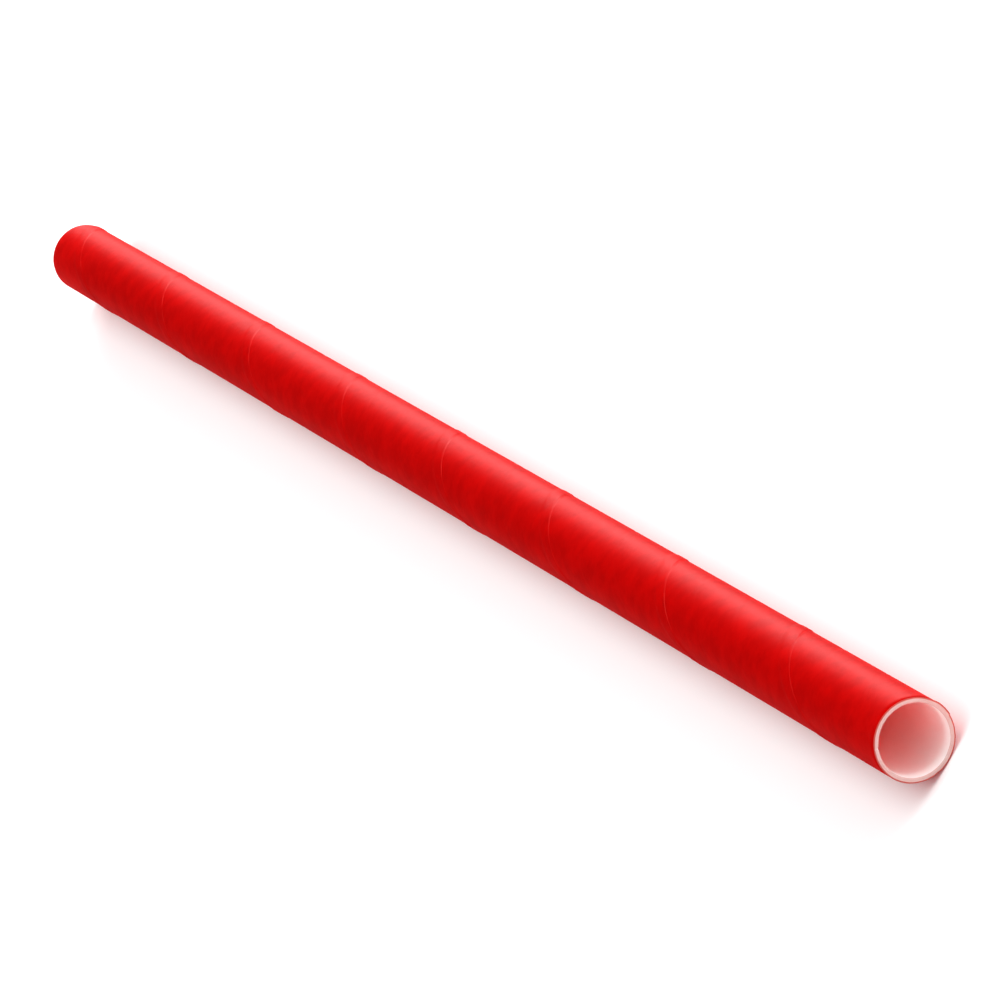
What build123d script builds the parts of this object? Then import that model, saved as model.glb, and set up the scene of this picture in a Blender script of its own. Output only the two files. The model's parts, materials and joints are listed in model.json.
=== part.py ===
from build123d import *
import os
from math import atan2, cos, pi

# Paper drinking straw, in millimetres. Three strips of paper are wound in a spiral,
# one over another, and glued into one stiff wall, which is cut square to length.
# The straw lies along X, as it comes to rest on a table.

# Finished straw
outside_diameter = 6.0
straw_length = 197.0

# Thickness of the strips: two white ones inside, and a thin coloured one over them
inner_paper = 0.15
middle_paper = 0.15
outer_paper = 0.08

# Right-handed winding: how far the strips move along the tube in one turn
winding_lead = 24.7

# Seams, as widths square to the seam. The coloured strip laps over its own edge and
# then slopes down to the tube, and its free edge is pressed a little flat. The inner
# strip stops just short of its own edge.
lap_width = 1.0
lap_edge_width = 0.03
lap_slope_width = 0.4
butt_gap = 0.25

# The belt that winds the tube presses the lap into it, so that the lap stands out less
# than the strip is thick
lap_rise = 0.05

# Where each seam starts at the left end of the straw, as a share of one turn
lap_start_share = 0.95
butt_start_share = 0.38

# Tube wound past each end, which goes when the straw is cut to length
end_waste = 2.0

# Radii of the wall and of the seams in it
wall = inner_paper + middle_paper + outer_paper
outside_radius = outside_diameter / 2
bore_radius = outside_radius - wall
lap_top_radius = outside_radius + lap_rise
lap_root_radius = outside_radius - lap_rise
groove_floor_radius = bore_radius + inner_paper
groove_mouth_radius = bore_radius - inner_paper

# The lap's sides cross the tube's surface half way between its top and its root
lap_foot_width = lap_width + lap_slope_width
lap_root_width = lap_foot_width + lap_slope_width

# Square to the seam, one turn of the winding covers this much paper
circumference = pi * outside_diameter
seam_angle = atan2(circumference, winding_lead)
turn_width = circumference * cos(seam_angle)

# The straw lies on the ridge of its lap, with its middle over the origin
wound_length = straw_length + end_waste + end_waste
wound_end = Plane(origin=(-wound_length / 2, 0, lap_top_radius), x_dir=(0, 1, 0), z_dir=(1, 0, 0))
left_cut = wound_end.offset(end_waste)
right_cut = left_cut.offset(straw_length)


def turned_by_width(width):
    """Degrees round the tube that a seam of this width covers."""
    return 360 * width / turn_width


def seam_arc(radius, start_width, end_width, start_share, mode=Mode.ADD):
    """Arc round the tube at its wound end, between two widths from where a seam starts."""
    start = 360 * (start_share - end_waste / winding_lead) + turned_by_width(start_width)
    return CenterArc((0, 0), radius, start, turned_by_width(end_width - start_width), mode=mode)


def lap_section():
    """Section of the lap, square to the tube: free edge, top and slope, rooted in the wall."""
    with BuildSketch(wound_end) as section:
        with BuildLine():
            top = seam_arc(lap_top_radius, lap_edge_width, lap_width, lap_start_share)
            root = seam_arc(lap_root_radius, -lap_edge_width, lap_root_width, lap_start_share)
            foot = seam_arc(outside_radius, 0, lap_foot_width, lap_start_share, Mode.PRIVATE)
            Line(root @ 0, top @ 0)
            ThreePointArc(top @ 1, foot @ 1, root @ 1)
        make_face()
    return section.sketch


def groove_section():
    """Section of the groove, square to the tube, reaching into the bore."""
    with BuildSketch(wound_end) as section:
        with BuildLine():
            floor = seam_arc(groove_floor_radius, 0, butt_gap, butt_start_share)
            mouth = seam_arc(groove_mouth_radius, 0, butt_gap, butt_start_share)
            Line(mouth @ 0, floor @ 0)
            Line(mouth @ 1, floor @ 1)
        make_face()
    return section.sketch


# The seams follow the tube's axis and turn with this helix
with BuildLine(wound_end) as tube_axis:
    Line((0, 0, 0), (0, 0, wound_length))
with BuildLine(wound_end) as winding:
    Helix(winding_lead, wound_length, outside_radius, direction=wound_end.z_dir)

# Straw
with BuildPart() as paper_straw:
    # Plain wall of the wound tube
    with BuildSketch(wound_end):
        Circle(outside_radius)
        Circle(bore_radius, mode=Mode.SUBTRACT)
    extrude(amount=wound_length)

    # Ridge where the coloured strip laps over its own edge
    sweep(lap_section(), path=tube_axis.edge(), binormal=winding.edge())

    # Groove in the bore between the edges of the inner strip
    sweep(groove_section(), path=tube_axis.edge(), binormal=winding.edge(), mode=Mode.SUBTRACT)

    # Square cuts at both ends
    split(bisect_by=left_cut, keep=Keep.TOP)
    split(bisect_by=right_cut, keep=Keep.BOTTOM)

paper_straw.part.label = "paper_straw"
os.makedirs("parts", exist_ok=True)
export_step(paper_straw.part, "parts/paper_straw.step")
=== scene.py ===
import json
from math import atan2, cos, pi, radians, sin

import bpy
from mathutils import Matrix, Vector


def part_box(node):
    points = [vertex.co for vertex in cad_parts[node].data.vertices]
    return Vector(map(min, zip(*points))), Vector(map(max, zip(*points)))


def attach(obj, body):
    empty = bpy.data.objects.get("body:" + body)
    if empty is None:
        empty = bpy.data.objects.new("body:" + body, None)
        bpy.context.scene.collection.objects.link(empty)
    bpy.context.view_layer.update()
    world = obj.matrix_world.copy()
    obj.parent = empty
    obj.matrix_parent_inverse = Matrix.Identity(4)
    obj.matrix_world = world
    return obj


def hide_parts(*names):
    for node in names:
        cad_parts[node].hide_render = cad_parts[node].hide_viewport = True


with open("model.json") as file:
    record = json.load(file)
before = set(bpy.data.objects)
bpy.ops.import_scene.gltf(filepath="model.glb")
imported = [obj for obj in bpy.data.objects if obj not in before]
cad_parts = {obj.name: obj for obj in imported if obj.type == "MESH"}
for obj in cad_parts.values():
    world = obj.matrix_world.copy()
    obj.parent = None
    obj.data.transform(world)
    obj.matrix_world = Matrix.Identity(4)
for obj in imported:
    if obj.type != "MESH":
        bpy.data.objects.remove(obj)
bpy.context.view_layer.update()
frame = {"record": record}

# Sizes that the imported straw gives
strawLow, strawHigh = (Vector(corner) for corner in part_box("paper_straw"))
mountRadius = {mount["name"]: mount["dims"]["r_mm"] / 1000 for mount in frame["record"]["mounts"]}
outsideRadius = mountRadius["outside"]
boreRadius = mountRadius["bore"]
axisHeight = (strawHigh.z + strawLow.z) / 2
strawLength = strawHigh.x - strawLow.x
leftEnd = strawLow.x
mouthPoint = Vector((strawHigh.x, 0, axisHeight))
print("frame loaded: straw", round(strawLength * 1000, 2), "mm long")

winding = {
    "lead": 0.0247,  # along the tube in one turn
    "lapWidth": 0.001,  # widths are square to the seam
    "edgeWidth": 0.00009,  # the edge is rolled off a little softer than in the solid
    "slopeWidth": 0.0004,
    "buttGap": 0.00025,
    "innerPaper": 0.00015,
    "lapStart": 0.95,  # places at the left end, as shares of a turn
    "buttStart": 0.38,
    "middleButtStart": 0.71,  # the hidden strip's edges only show as a faint dip
}
circumference = 2 * pi * outsideRadius
seamAngle = atan2(circumference, winding["lead"])
turnWidth = circumference * cos(seamAngle)


# Node helpers: a value is a number or another node's output

def feed(tree, value, socket):
    if isinstance(value, bpy.types.NodeSocket):
        tree.links.new(value, socket)
    else:
        socket.default_value = value


def calc(tree, operation, *values):
    node = tree.nodes.new("ShaderNodeMath")
    node.operation = operation
    for value, socket in zip(values, node.inputs):
        feed(tree, value, socket)
    return node.outputs[0]


def ramp(tree, value, start, end, low=0.0, high=1.0, smooth=False):
    node = tree.nodes.new("ShaderNodeMapRange")
    node.interpolation_type = "SMOOTHSTEP" if smooth else "LINEAR"
    for socket, given in zip(node.inputs, (value, start, end, low, high)):
        feed(tree, given, socket)
    return node.outputs[0]


def near(tree, value, middle, halfWidth):
    # 1 at the middle, falling softly to 0 at the half width on both sides
    away = calc(tree, "ABSOLUTE", calc(tree, "SUBTRACT", value, middle))
    return ramp(tree, away, 0.0, halfWidth, 1.0, 0.0, smooth=True)


def vector(tree, x, y, z):
    node = tree.nodes.new("ShaderNodeCombineXYZ")
    for value, socket in zip((x, y, z), node.inputs):
        feed(tree, value, socket)
    return node.outputs[0]


def splitVector(tree, value):
    node = tree.nodes.new("ShaderNodeSeparateXYZ")
    feed(tree, value, node.inputs[0])
    return node.outputs


def noise(tree, place, scale, detail=2.0, roughness=0.5, distortion=0.0):
    node = tree.nodes.new("ShaderNodeTexNoise")
    for name, value in (("Vector", place), ("Scale", scale), ("Detail", detail),
                        ("Roughness", roughness), ("Distortion", distortion)):
        feed(tree, value, node.inputs[name])
    return node.outputs["Fac"]


def blend(tree, share, first, second):
    node = tree.nodes.new("ShaderNodeMix")
    node.data_type = "RGBA"
    feed(tree, share, node.inputs["Factor"])
    feed(tree, first, node.inputs[6])
    feed(tree, second, node.inputs[7])
    return node.outputs[2]


# Shared effect: paper fibres that run along the strip, with finer grain over them, and
# larger cloudy patches where the paper is denser

paper = {
    "fibreShare": 0.6,  # of the surface's height, and the rest is grain
    "fibreDetail": 3.0,
    "fibreRoughness": 0.6,
    "fibreTangle": 0.6,
    "cloudDetail": 4.0,
    "cloudRoughness": 0.6,
    "mottleRange": (0.38, 0.62),  # where the colour turns from one tone to the other
}


def placeClouds(tree, place, perMetre):
    return noise(tree, place, perMetre, detail=paper["cloudDetail"], roughness=paper["cloudRoughness"])


def makePaperFibres():
    tree = bpy.data.node_groups.new("paperFibres", "ShaderNodeTree")
    tree.interface.new_socket("Sheet Place", in_out="INPUT", socket_type="NodeSocketVector")
    for name, default in (("Fibre Width", 0.00008), ("Fibre Length", 0.001),
                          ("Grain Size", 0.00005), ("Cloud Size", 0.002)):
        socket = tree.interface.new_socket(name, in_out="INPUT", socket_type="NodeSocketFloat")
        socket.default_value = default
    for name in ("Height", "Clouds"):
        tree.interface.new_socket(name, in_out="OUTPUT", socket_type="NodeSocketFloat")
    given = tree.nodes.new("NodeGroupInput").outputs
    across, along, _ = splitVector(tree, given["Sheet Place"])
    fibrePlace = vector(tree, calc(tree, "DIVIDE", across, given["Fibre Width"]),
                        calc(tree, "DIVIDE", along, given["Fibre Length"]), 0.0)
    fibres = noise(tree, fibrePlace, 1.0, detail=paper["fibreDetail"], roughness=paper["fibreRoughness"],
                   distortion=paper["fibreTangle"])
    place = tree.nodes.new("ShaderNodeTexCoord").outputs["Object"]
    grain = noise(tree, place, calc(tree, "DIVIDE", 1.0, given["Grain Size"]))
    result = tree.nodes.new("NodeGroupOutput").inputs
    feed(tree, calc(tree, "ADD", calc(tree, "MULTIPLY", fibres, paper["fibreShare"]),
                    calc(tree, "MULTIPLY", grain, 1 - paper["fibreShare"])), result["Height"])
    feed(tree, placeClouds(tree, place, calc(tree, "DIVIDE", 1.0, given["Cloud Size"])), result["Clouds"])
    return tree


paperFibres = makePaperFibres()


def sheetMap(tree, name):
    # "strip" follows the outside and the bore, and "cut" follows the rims
    node = tree.nodes.new("ShaderNodeUVMap")
    node.uv_map = name
    return node.outputs[0]


def placeFibres(tree, place, sizes):
    # the surface's height, and a mask of its mottling from fibres and clouds in equal parts
    node = tree.nodes.new("ShaderNodeGroup")
    node.node_tree = paperFibres
    feed(tree, place, node.inputs["Sheet Place"])
    for name, value in sizes.items():
        node.inputs[name].default_value = value
    height, clouds = node.outputs["Height"], node.outputs["Clouds"]
    mottle = calc(tree, "ADD", calc(tree, "MULTIPLY", height, 0.5), calc(tree, "MULTIPLY", clouds, 0.5))
    return height, ramp(tree, mottle, *paper["mottleRange"])


def newMaterial(name):
    material = bpy.data.materials.new(name)
    material.use_nodes = True
    tree = material.node_tree
    return material, tree, tree.nodes["Principled BSDF"], tree.nodes["Material Output"]


def bumpFrom(tree, height, distance):
    node = tree.nodes.new("ShaderNodeBump")
    node.inputs["Strength"].default_value = 1.0
    node.inputs["Distance"].default_value = distance
    feed(tree, height, node.inputs["Height"])
    return node.outputs["Normal"]


def letLightThrough(tree, surface, output, share, colour):
    # thin paper passes some light to its other side
    glow = tree.nodes.new("ShaderNodeBsdfTranslucent")
    feed(tree, colour, glow.inputs["Color"])
    mix = tree.nodes.new("ShaderNodeMixShader")
    mix.inputs[0].default_value = share
    tree.links.new(surface.outputs[0], mix.inputs[1])
    tree.links.new(glow.outputs[0], mix.inputs[2])
    tree.links.new(mix.outputs[0], output.inputs["Surface"])


# Red outside of the straw

redPaper = {
    "red": (0.43, 0.0, 0.0, 1),
    "darkRed": (0.33, 0.0, 0.0, 1),
    # white of the cut edge, also used as painted light over the lap step's shade
    "paleEdgeAndLift": (0.6, 0.1, 0.09, 1),
    "edgeWidth": 0.00009,
    "wornPerMetre": 450.0,
    "wornDetail": 3.0,
    "wornRange": (0.45, 0.65),
    # painted light: every part of the edge is at least this pale, to lift the step's shade
    "edgeLift": 0.35,
    "glow": (1.0, 0.055, 0.05, 1),
    "denseGlow": (0.93, 0.045, 0.04, 1),
    "glowShare": 0.52,
    "fibres": {"Fibre Width": 0.0001, "Fibre Length": 0.0014, "Cloud Size": 0.0016},
    "fibreBump": 0.000008,
    "heightRange": (0.3, 0.7),  # low fibres have the first roughness, and high ones the second
    "roughness": (0.45, 0.55),
    "specular": 0.06,
}


def makeRedPaper():
    material, tree, surface, output = newMaterial("redPaper")
    strip = sheetMap(tree, "strip")
    height, mottle = placeFibres(tree, strip, redPaper["fibres"])
    colour = blend(tree, mottle, redPaper["red"], redPaper["darkRed"])
    # the strip's cut edge is white inside and shows as an uneven paler line along the seam; the whole edge
    # is also painted partly pale, painted light that lifts the shade on the lap's step
    across = splitVector(tree, strip)[0]
    atEdge = ramp(tree, across, 0.0, redPaper["edgeWidth"], 1.0, 0.0)
    place = tree.nodes.new("ShaderNodeTexCoord").outputs["Object"]
    patches = noise(tree, place, redPaper["wornPerMetre"], detail=redPaper["wornDetail"])
    # the least pale share all along the edge is painted light over the step's shade, and the flecks above
    # it are the white cut edge
    wearAndLift = ramp(tree, patches, *redPaper["wornRange"], redPaper["edgeLift"], 1.0)
    colour = blend(tree, calc(tree, "MULTIPLY", atEdge, wearAndLift), colour, redPaper["paleEdgeAndLift"])
    feed(tree, colour, surface.inputs["Base Color"])
    feed(tree, ramp(tree, height, *redPaper["heightRange"], *redPaper["roughness"]),
         surface.inputs["Roughness"])
    surface.inputs["Specular IOR Level"].default_value = redPaper["specular"]
    feed(tree, bumpFrom(tree, height, redPaper["fibreBump"]), surface.inputs["Normal"])
    clouds = placeClouds(tree, place, 1 / redPaper["fibres"]["Cloud Size"])
    glow = blend(tree, ramp(tree, clouds, *paper["mottleRange"]), redPaper["glow"], redPaper["denseGlow"])
    letLightThrough(tree, surface, output, redPaper["glowShare"], glow)
    return material


# White inside of the straw

whitePaper = {
    "white": (0.99, 0.965, 0.95, 1),
    "shade": (0.98, 0.93, 0.91, 1),
    "glow": (1.0, 0.9, 0.88, 1),
    "glowShare": 0.2,
    "fibres": {"Fibre Width": 0.0001, "Fibre Length": 0.0012, "Cloud Size": 0.0016},
    "fibreBump": 0.00002,
    "roughness": 0.8,
    "specular": 0.2,
}


def makeWhitePaper():
    material, tree, surface, output = newMaterial("whitePaper")
    height, mottle = placeFibres(tree, sheetMap(tree, "strip"), whitePaper["fibres"])
    feed(tree, blend(tree, mottle, whitePaper["white"], whitePaper["shade"]), surface.inputs["Base Color"])
    surface.inputs["Roughness"].default_value = whitePaper["roughness"]
    surface.inputs["Specular IOR Level"].default_value = whitePaper["specular"]
    feed(tree, bumpFrom(tree, height, whitePaper["fibreBump"]), surface.inputs["Normal"])
    letLightThrough(tree, surface, output, whitePaper["glowShare"], whitePaper["glow"])
    return material


# Cut ends of the paper wall. The depths are measured from the outside.

cutPaper = {
    "pale": (0.79, 0.65, 0.62, 1),
    "pink": (0.73, 0.53, 0.5, 1),
    "ink": (0.55, 0.12, 0.1, 1),
    "inkDepths": (0.00006, 0.00013),  # the red fades out between them, just into the middle strip
    "glue": (0.68, 0.46, 0.43, 1),
    "joints": (0.00008, 0.00023),  # where the strips are glued together
    "jointWidth": 0.000012,
    "fibres": {"Fibre Width": 0.00003, "Fibre Length": 0.0003, "Cloud Size": 0.001},
    "fibreBump": 0.00004,
    "roughness": 0.85,
    "specular": 0.2,
    "glow": (0.98, 0.68, 0.64, 1),
    "glowShare": 0.2,
}


def makeCutPaper():
    material, tree, surface, output = newMaterial("cutPaper")
    cut = sheetMap(tree, "cut")
    height, mottle = placeFibres(tree, cut, cutPaper["fibres"])
    colour = blend(tree, mottle, cutPaper["pink"], cutPaper["pale"])
    inward = splitVector(tree, cut)[0]
    for joint in cutPaper["joints"]:
        colour = blend(tree, near(tree, inward, joint, cutPaper["jointWidth"]), colour, cutPaper["glue"])
    inked = ramp(tree, inward, *cutPaper["inkDepths"], 1.0, 0.0, smooth=True)
    colour = blend(tree, inked, colour, cutPaper["ink"])
    feed(tree, colour, surface.inputs["Base Color"])
    surface.inputs["Roughness"].default_value = cutPaper["roughness"]
    surface.inputs["Specular IOR Level"].default_value = cutPaper["specular"]
    feed(tree, bumpFrom(tree, height, cutPaper["fibreBump"]), surface.inputs["Normal"])
    letLightThrough(tree, surface, output, cutPaper["glowShare"], cutPaper["glow"])
    return material


materials = {"Outside": makeRedPaper(), "Inside": makeWhitePaper(), "Cut Ends": makeCutPaper()}
print("paper made:", ", ".join(material.name for material in materials.values()))

# The straw: a sheet of points is rolled into the tube by a Geometry Nodes tree. Down the sheet
# they run along the outside, over the right rim, back along the bore and over the left rim.
# Across the sheet they go round from the lap's free edge to that edge again.

straw = {
    "Columns": 160,
    "Outside Rows": 280,
    "Rim Rows": 5,
    "Inside Rows": 140,
    "Soft Share": 0.006,  # share of a turn over which the groove's sides fall
    "Rim Round": 0.00004,  # the most that each of these moves the surface
    "Rim Fray": 0.00005,
    "Ply Dip": 0.000012,
    "Waves": 0.00001,
}
mergeDistance = 0.000001  # closes the sheet's edges into a tube

# Unevenness of the wall, and of the cut at both rims
uneven = {
    "wavesPerMetre": 160.0,  # along the tube
    "waveScale": 1.6,
    "frayAlong": 9.0,  # large, so that the two rims are unlike each other
    "frayRound": 3.0,  # larger for finer fraying
    "frayScale": 2.5,
    "frayDetail": 4.0,
    "frayRoughness": 0.7,
    "frayRange": (0.35, 0.75),
    "cornerPower": 4.0,  # the higher, the tighter the rims' corners
}
rimShare = 0.0001  # a point this near an end, as a share of the length, is on its rim


def makeWindingTree():
    tree = bpy.data.node_groups.new("woundStraw", "GeometryNodeTree")
    tree.is_modifier = True
    tree.interface.new_socket("Geometry", in_out="INPUT", socket_type="NodeSocketGeometry")
    tree.interface.new_socket("Geometry", in_out="OUTPUT", socket_type="NodeSocketGeometry")
    for name in ("Columns", "Outside Rows", "Rim Rows", "Inside Rows"):
        tree.interface.new_socket(name, in_out="INPUT", socket_type="NodeSocketInt")
    for name in ("Edge Share", "Soft Share", "Rim Round", "Rim Fray", "Ply Dip", "Waves", "Length",
                 "Left End", "Axis Height", "Outside Radius", "Bore Radius", "Lap Height",
                 "Groove Depth", "Lead", "Seam Angle", "Start Turn", "Lap Share", "Slope Share",
                 "Groove Place", "Groove Share", "Middle Butt Place"):
        tree.interface.new_socket(name, in_out="INPUT", socket_type="NodeSocketFloat")
    for name in materials:
        tree.interface.new_socket(name, in_out="INPUT", socket_type="NodeSocketMaterial")
    given = tree.nodes.new("NodeGroupInput").outputs

    def plus(a, b):
        return calc(tree, "ADD", a, b)

    def minus(a, b):
        return calc(tree, "SUBTRACT", a, b)

    def times(a, b):
        return calc(tree, "MULTIPLY", a, b)

    # flat sheet of points, one unit each way
    rows = plus(plus(given["Outside Rows"], given["Inside Rows"]), times(given["Rim Rows"], 2))
    grid = tree.nodes.new("GeometryNodeMeshGrid")
    feed(tree, plus(rows, 1), grid.inputs["Vertices X"])
    feed(tree, plus(given["Columns"], 1), grid.inputs["Vertices Y"])
    flat = splitVector(tree, tree.nodes.new("GeometryNodeInputPosition").outputs[0])
    down = plus(flat[0], 0.5)
    across = plus(flat[1], 0.5)

    # down the sheet: share of the tube's length, and depth into the wall
    outsideEnd = calc(tree, "DIVIDE", given["Outside Rows"], rows)
    insideStart = calc(tree, "DIVIDE", plus(given["Outside Rows"], given["Rim Rows"]), rows)
    insideEnd = minus(1.0, calc(tree, "DIVIDE", given["Rim Rows"], rows))
    lengthShare = minus(ramp(tree, down, 0.0, outsideEnd), ramp(tree, down, insideStart, insideEnd))
    depth = minus(ramp(tree, down, outsideEnd, insideStart), ramp(tree, down, insideEnd, 1.0))

    # across the sheet: share of a turn, with the first column squeezed into the lap's free edge
    firstColumn = calc(tree, "DIVIDE", 1.0, given["Columns"])
    turnShare = plus(times(ramp(tree, across, 0.0, firstColumn), given["Edge Share"]),
                     times(ramp(tree, across, firstColumn, 1.0), minus(1.0, given["Edge Share"])))
    length = times(lengthShare, given["Length"])
    turns = plus(plus(given["Start Turn"], turnShare), calc(tree, "DIVIDE", length, given["Lead"]))
    angle = times(turns, 2 * pi)

    # outside: lap, dips over the butts below it, and slight waves
    lapEnd = plus(given["Lap Share"], given["Slope Share"])
    slope = ramp(tree, turnShare, given["Lap Share"], lapEnd, 1.0, 0.0)
    lap = calc(tree, "MINIMUM", slope, ramp(tree, turnShare, 0.0, given["Edge Share"]))
    grooveMiddle = plus(given["Groove Place"], times(given["Groove Share"], 0.5))
    dips = plus(near(tree, turnShare, grooveMiddle, given["Groove Share"]),
                near(tree, turnShare, given["Middle Butt Place"], given["Groove Share"]))
    lapped = plus(given["Outside Radius"], times(given["Lap Height"], lap))
    toY, toZ = calc(tree, "COSINE", angle), calc(tree, "SINE", angle)
    waves = noise(tree, vector(tree, times(length, uneven["wavesPerMetre"]), toY, toZ), uneven["waveScale"])
    outer = minus(minus(lapped, times(dips, given["Ply Dip"])), times(waves, given["Waves"]))

    # bore: the groove between the edges of the inner strip
    grooveEnd = plus(given["Groove Place"], given["Groove Share"])
    grooveFloorStart = plus(given["Groove Place"], given["Soft Share"])
    grooveFloorEnd = minus(grooveEnd, given["Soft Share"])
    groove = minus(ramp(tree, turnShare, given["Groove Place"], grooveFloorStart),
                   ramp(tree, turnShare, grooveFloorEnd, grooveEnd))
    inner = plus(given["Bore Radius"], times(given["Groove Depth"], groove))
    radius = plus(outer, times(minus(inner, outer), depth))

    # rims: soft corners and a slightly frayed cut, both set back from the full length
    cornerShare = calc(tree, "ABSOLUTE", minus(times(depth, 2.0), 1.0))
    corner = times(calc(tree, "POWER", cornerShare, uneven["cornerPower"]), given["Rim Round"])
    frayPlace = vector(tree, times(lengthShare, uneven["frayAlong"]), times(toY, uneven["frayRound"]),
                       times(toZ, uneven["frayRound"]))
    frayed = noise(tree, frayPlace, uneven["frayScale"], detail=uneven["frayDetail"],
                   roughness=uneven["frayRoughness"])
    fray = times(ramp(tree, frayed, *uneven["frayRange"]), given["Rim Fray"])
    atRight = ramp(tree, lengthShare, 1 - rimShare, 1 - rimShare / 10)
    atLeft = ramp(tree, lengthShare, rimShare / 10, rimShare, 1.0, 0.0)
    setBack = times(plus(corner, fray), minus(atLeft, atRight))

    place = vector(tree, plus(plus(given["Left End"], length), setBack), times(radius, toY),
                   plus(given["Axis Height"], times(radius, toZ)))

    # strip map in metres: square to the seam, and along it
    around = times(turnShare, times(given["Outside Radius"], 2 * pi))
    stripMap = vector(tree, times(around, calc(tree, "COSINE", given["Seam Angle"])),
                      plus(times(around, calc(tree, "SINE", given["Seam Angle"])),
                           calc(tree, "DIVIDE", length, calc(tree, "COSINE", given["Seam Angle"]))), 0.0)

    def store(geometry, name, kind, domain, value):
        node = tree.nodes.new("GeometryNodeStoreNamedAttribute")
        node.data_type = kind
        node.domain = domain
        feed(tree, geometry, node.inputs["Geometry"])
        node.inputs["Name"].default_value = name
        feed(tree, value, node.inputs["Value"])
        return node.outputs[0]

    # cut map in metres: into the wall, and round the tube
    wall = minus(given["Outside Radius"], given["Bore Radius"])
    cutMap = vector(tree, times(depth, wall), around, 0.0)

    sheet = store(grid.outputs["Mesh"], "strip", "FLOAT2", "CORNER", stripMap)
    sheet = store(sheet, "cut", "FLOAT2", "CORNER", cutMap)
    sheet = store(sheet, "wallDepth", "FLOAT", "FACE", depth)

    setPosition = tree.nodes.new("GeometryNodeSetPosition")
    feed(tree, sheet, setPosition.inputs["Geometry"])
    feed(tree, place, setPosition.inputs["Position"])
    merge = tree.nodes.new("GeometryNodeMergeByDistance")
    feed(tree, setPosition.outputs[0], merge.inputs["Geometry"])
    merge.inputs["Distance"].default_value = mergeDistance
    smooth = tree.nodes.new("GeometryNodeSetShadeSmooth")
    feed(tree, merge.outputs[0], smooth.inputs["Geometry"])
    realize = tree.nodes.new("GeometryNodeRealizeInstances")
    feed(tree, smooth.outputs[0], realize.inputs["Geometry"])

    wallDepth = tree.nodes.new("GeometryNodeInputNamedAttribute")
    wallDepth.data_type = "FLOAT"
    wallDepth.inputs["Name"].default_value = "wallDepth"
    finished = realize.outputs[0]
    insideFaces = calc(tree, "GREATER_THAN", wallDepth.outputs[0], 0.99)  # the depth is 0 outside
    outsideFaces = calc(tree, "LESS_THAN", wallDepth.outputs[0], 0.01)  # and 1 in the bore
    for name, chosen in (("Cut Ends", None), ("Outside", outsideFaces), ("Inside", insideFaces)):
        node = tree.nodes.new("GeometryNodeSetMaterial")
        feed(tree, finished, node.inputs["Geometry"])
        if chosen:
            feed(tree, chosen, node.inputs["Selection"])
        feed(tree, given[name], node.inputs["Material"])
        finished = node.outputs[0]
    feed(tree, finished, tree.nodes.new("NodeGroupOutput").inputs[0])
    return tree


def makeStraw():
    tree = makeWindingTree()
    lapStart = winding["lapStart"]
    sizes = {
        "Length": strawLength,
        "Left End": leftEnd,
        "Axis Height": axisHeight,
        "Outside Radius": outsideRadius,
        "Bore Radius": boreRadius,
        "Lap Height": axisHeight - strawLow.z - outsideRadius,
        "Groove Depth": winding["innerPaper"],
        "Lead": winding["lead"],
        "Seam Angle": seamAngle,
        "Start Turn": lapStart,
        "Edge Share": winding["edgeWidth"] / turnWidth,
        "Lap Share": winding["lapWidth"] / turnWidth,
        "Slope Share": winding["slopeWidth"] / turnWidth,
        "Groove Place": (winding["buttStart"] - lapStart) % 1,
        "Groove Share": winding["buttGap"] / turnWidth,
        "Middle Butt Place": (winding["middleButtStart"] - lapStart) % 1,
    }
    carrier = bpy.data.objects.new("strawCarrier", bpy.data.meshes.new("strawCarrier"))
    bpy.context.collection.objects.link(carrier)
    modifier = carrier.modifiers.new("winding", "NODES")
    modifier.node_group = tree
    inputs = [item for item in tree.interface.items_tree if item.in_out == "INPUT"]
    socketName = {item.name: item.identifier for item in inputs}
    for name, value in {**straw, **sizes, **materials}.items():
        modifier[socketName[name]] = value
    evaluated = carrier.evaluated_get(bpy.context.evaluated_depsgraph_get())
    mesh = bpy.data.meshes.new_from_object(evaluated)
    carrier.modifiers.remove(modifier)
    bpy.data.objects.remove(carrier)
    mesh.name = "woundStraw"
    piece = bpy.data.objects.new("woundStraw", mesh)
    bpy.context.collection.objects.link(piece)
    return piece


woundStraw = makeStraw()
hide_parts("paper_straw")
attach(woundStraw, "root")
print("straw wound:", len(woundStraw.data.polygons), "faces")

# Floor

floor = {
    "halfSize": 3.0,
    "pale": (0.95, 0.95, 0.95, 1),
    "shade": (0.93, 0.93, 0.935, 1),
    "patchesPerMetre": 9.0,
    "roughness": 0.9,
    "specular": 0.1,
}


def makeFloor():
    material, tree, surface, _ = newMaterial("paleFloor")
    place = tree.nodes.new("ShaderNodeTexCoord").outputs["Object"]
    feed(tree, blend(tree, noise(tree, place, floor["patchesPerMetre"]), floor["pale"], floor["shade"]),
         surface.inputs["Base Color"])
    surface.inputs["Roughness"].default_value = floor["roughness"]
    surface.inputs["Specular IOR Level"].default_value = floor["specular"]
    half = floor["halfSize"]
    mesh = bpy.data.meshes.new("paleFloor")
    corners = [(-half, -half, 0), (half, -half, 0), (half, half, 0), (-half, half, 0)]
    mesh.from_pydata(corners, [], [(0, 1, 2, 3)])
    mesh.materials.append(material)
    piece = bpy.data.objects.new("paleFloor", mesh)
    bpy.context.collection.objects.link(piece)


makeFloor()

# Light: a broad soft box at the straw's side, two lower ones beyond its far end that give the
# sheen, one above, and pale air all round that is brighter in front of the near mouth

lights = {
    "key": {"place": (0.05, 1.35, 0.64), "size": (1.4, 0.6), "power": 6.3},
    "back": {"place": (-2.28, 1.21, 0.36), "size": (1.2, 0.5), "power": 19.0},
    "low": {"place": (-1.98, 1.66, 0.15), "size": (1.2, 0.26), "power": 31.0},
    "top": {"place": (0.0, 0.0, 1.4), "size": (1.6, 1.6), "power": 6.4},
    "air": {"front": 0.81, "behind": 0.35},
}


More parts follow.
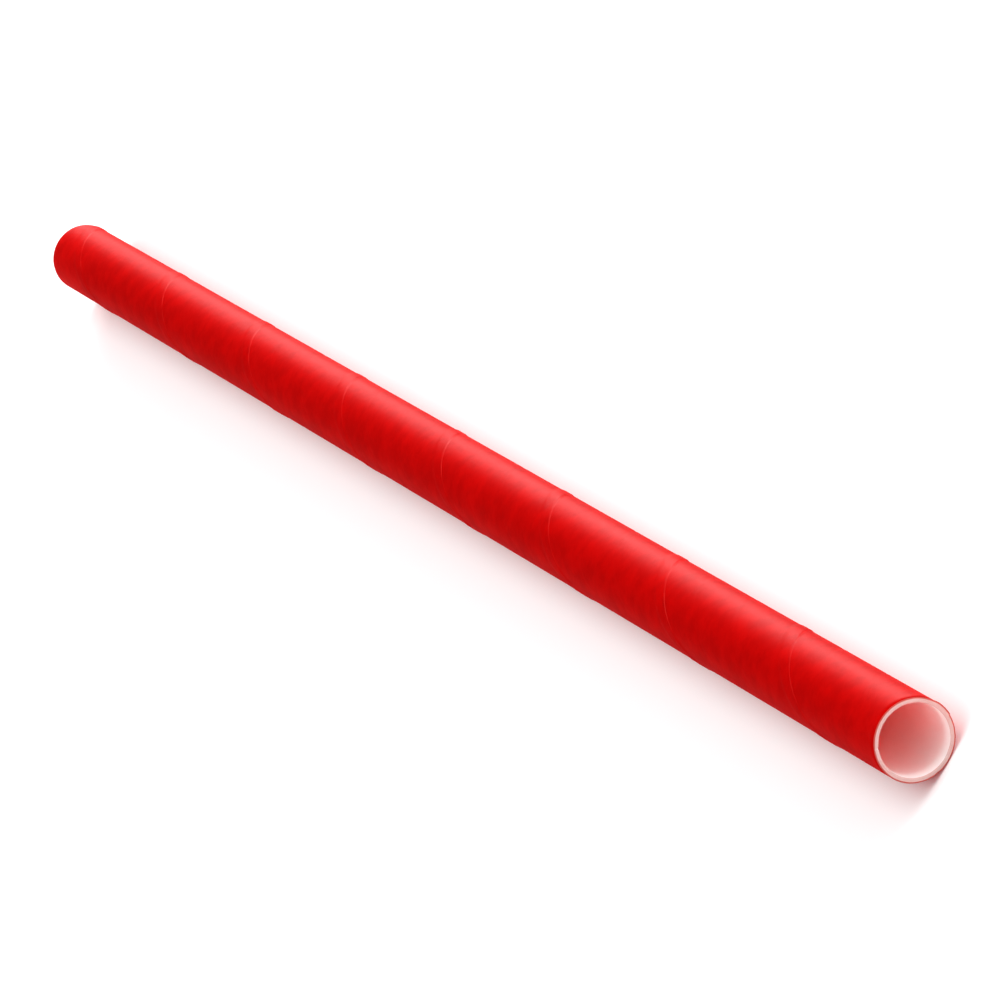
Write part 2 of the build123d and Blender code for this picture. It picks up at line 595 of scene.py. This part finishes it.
def makeLights():
    for name in ("key", "back", "low", "top"):
        given = lights[name]
        lamp = bpy.data.lights.new(name, "AREA")
        lamp.shape = "RECTANGLE"
        lamp.size, lamp.size_y = given["size"]
        lamp.energy = given["power"]
        holder = bpy.data.objects.new(name, lamp)
        holder.location = given["place"]
        aim = Vector((0, 0, axisHeight)) - holder.location
        holder.rotation_euler = aim.to_track_quat("-Z", "Y").to_euler()
        bpy.context.collection.objects.link(holder)
    world = bpy.data.worlds.new("paleAir")
    world.use_nodes = True
    tree = world.node_tree
    towards = splitVector(tree, tree.nodes.new("ShaderNodeTexCoord").outputs["Generated"])[0]
    brightness = ramp(tree, towards, -1.0, 1.0, lights["air"]["behind"], lights["air"]["front"])
    background = tree.nodes["Background"]
    background.inputs["Color"].default_value = (1, 1, 1, 1)
    feed(tree, brightness, background.inputs["Strength"])
    bpy.context.scene.world = world


makeLights()
scene = bpy.context.scene
scene.view_settings.view_transform = "Standard"
scene.view_settings.look = "High Contrast"
scene.cycles.max_bounces = 14  # light that gets into the bore is passed on many times
scene.cycles.diffuse_bounces = 10
scene.cycles.transmission_bounces = 10
print("floor and lights placed")

# Camera: the line of sight to the near mouth is as far off the straw's axis as in the
# photograph, and the picture is turned so that the straw runs up to the left as it does there

view = {
    "offAxis": radians(26),
    "mouthDistance": 0.542,
    "pictureSlope": radians(30.2),
    "strawShare": 0.96,  # of the picture's width, along the straw
    "clipStart": 0.01,
}


def makeCamera():
    eye = mouthPoint + view["mouthDistance"] * Vector((cos(view["offAxis"]), 0, sin(view["offAxis"])))
    farPoint = Vector((leftEnd, 0, axisHeight))
    toMouth = (mouthPoint - eye).normalized()
    toFar = (farPoint - eye).normalized()
    forward = (toMouth + toFar).normalized()
    right = forward.cross(Vector((0, 0, 1))).normalized()
    up = right.cross(forward)
    slope = view["pictureSlope"]
    pictureRight = sin(slope) * right - cos(slope) * up
    pictureUp = cos(slope) * right + sin(slope) * up
    lens = bpy.data.cameras.new("photoCamera")
    lens.sensor_fit = "HORIZONTAL"
    halfSpread = toMouth.angle(toFar) / 2
    halfPicture = view["strawShare"] / 2
    # the picture is one unit wide at this distance from the eye
    unitDistance = halfPicture / (sin(halfSpread) / cos(halfSpread))
    lens.lens = unitDistance * lens.sensor_width
    lens.clip_start = view["clipStart"]
    camera = bpy.data.objects.new("photoCamera", lens)
    turned = Matrix((pictureRight, pictureUp, -forward)).transposed()
    camera.matrix_world = Matrix.Translation(eye) @ turned.to_4x4()
    bpy.context.collection.objects.link(camera)
    scene.camera = camera
    print("camera: lens", round(lens.lens, 1), "mm")


makeCamera()
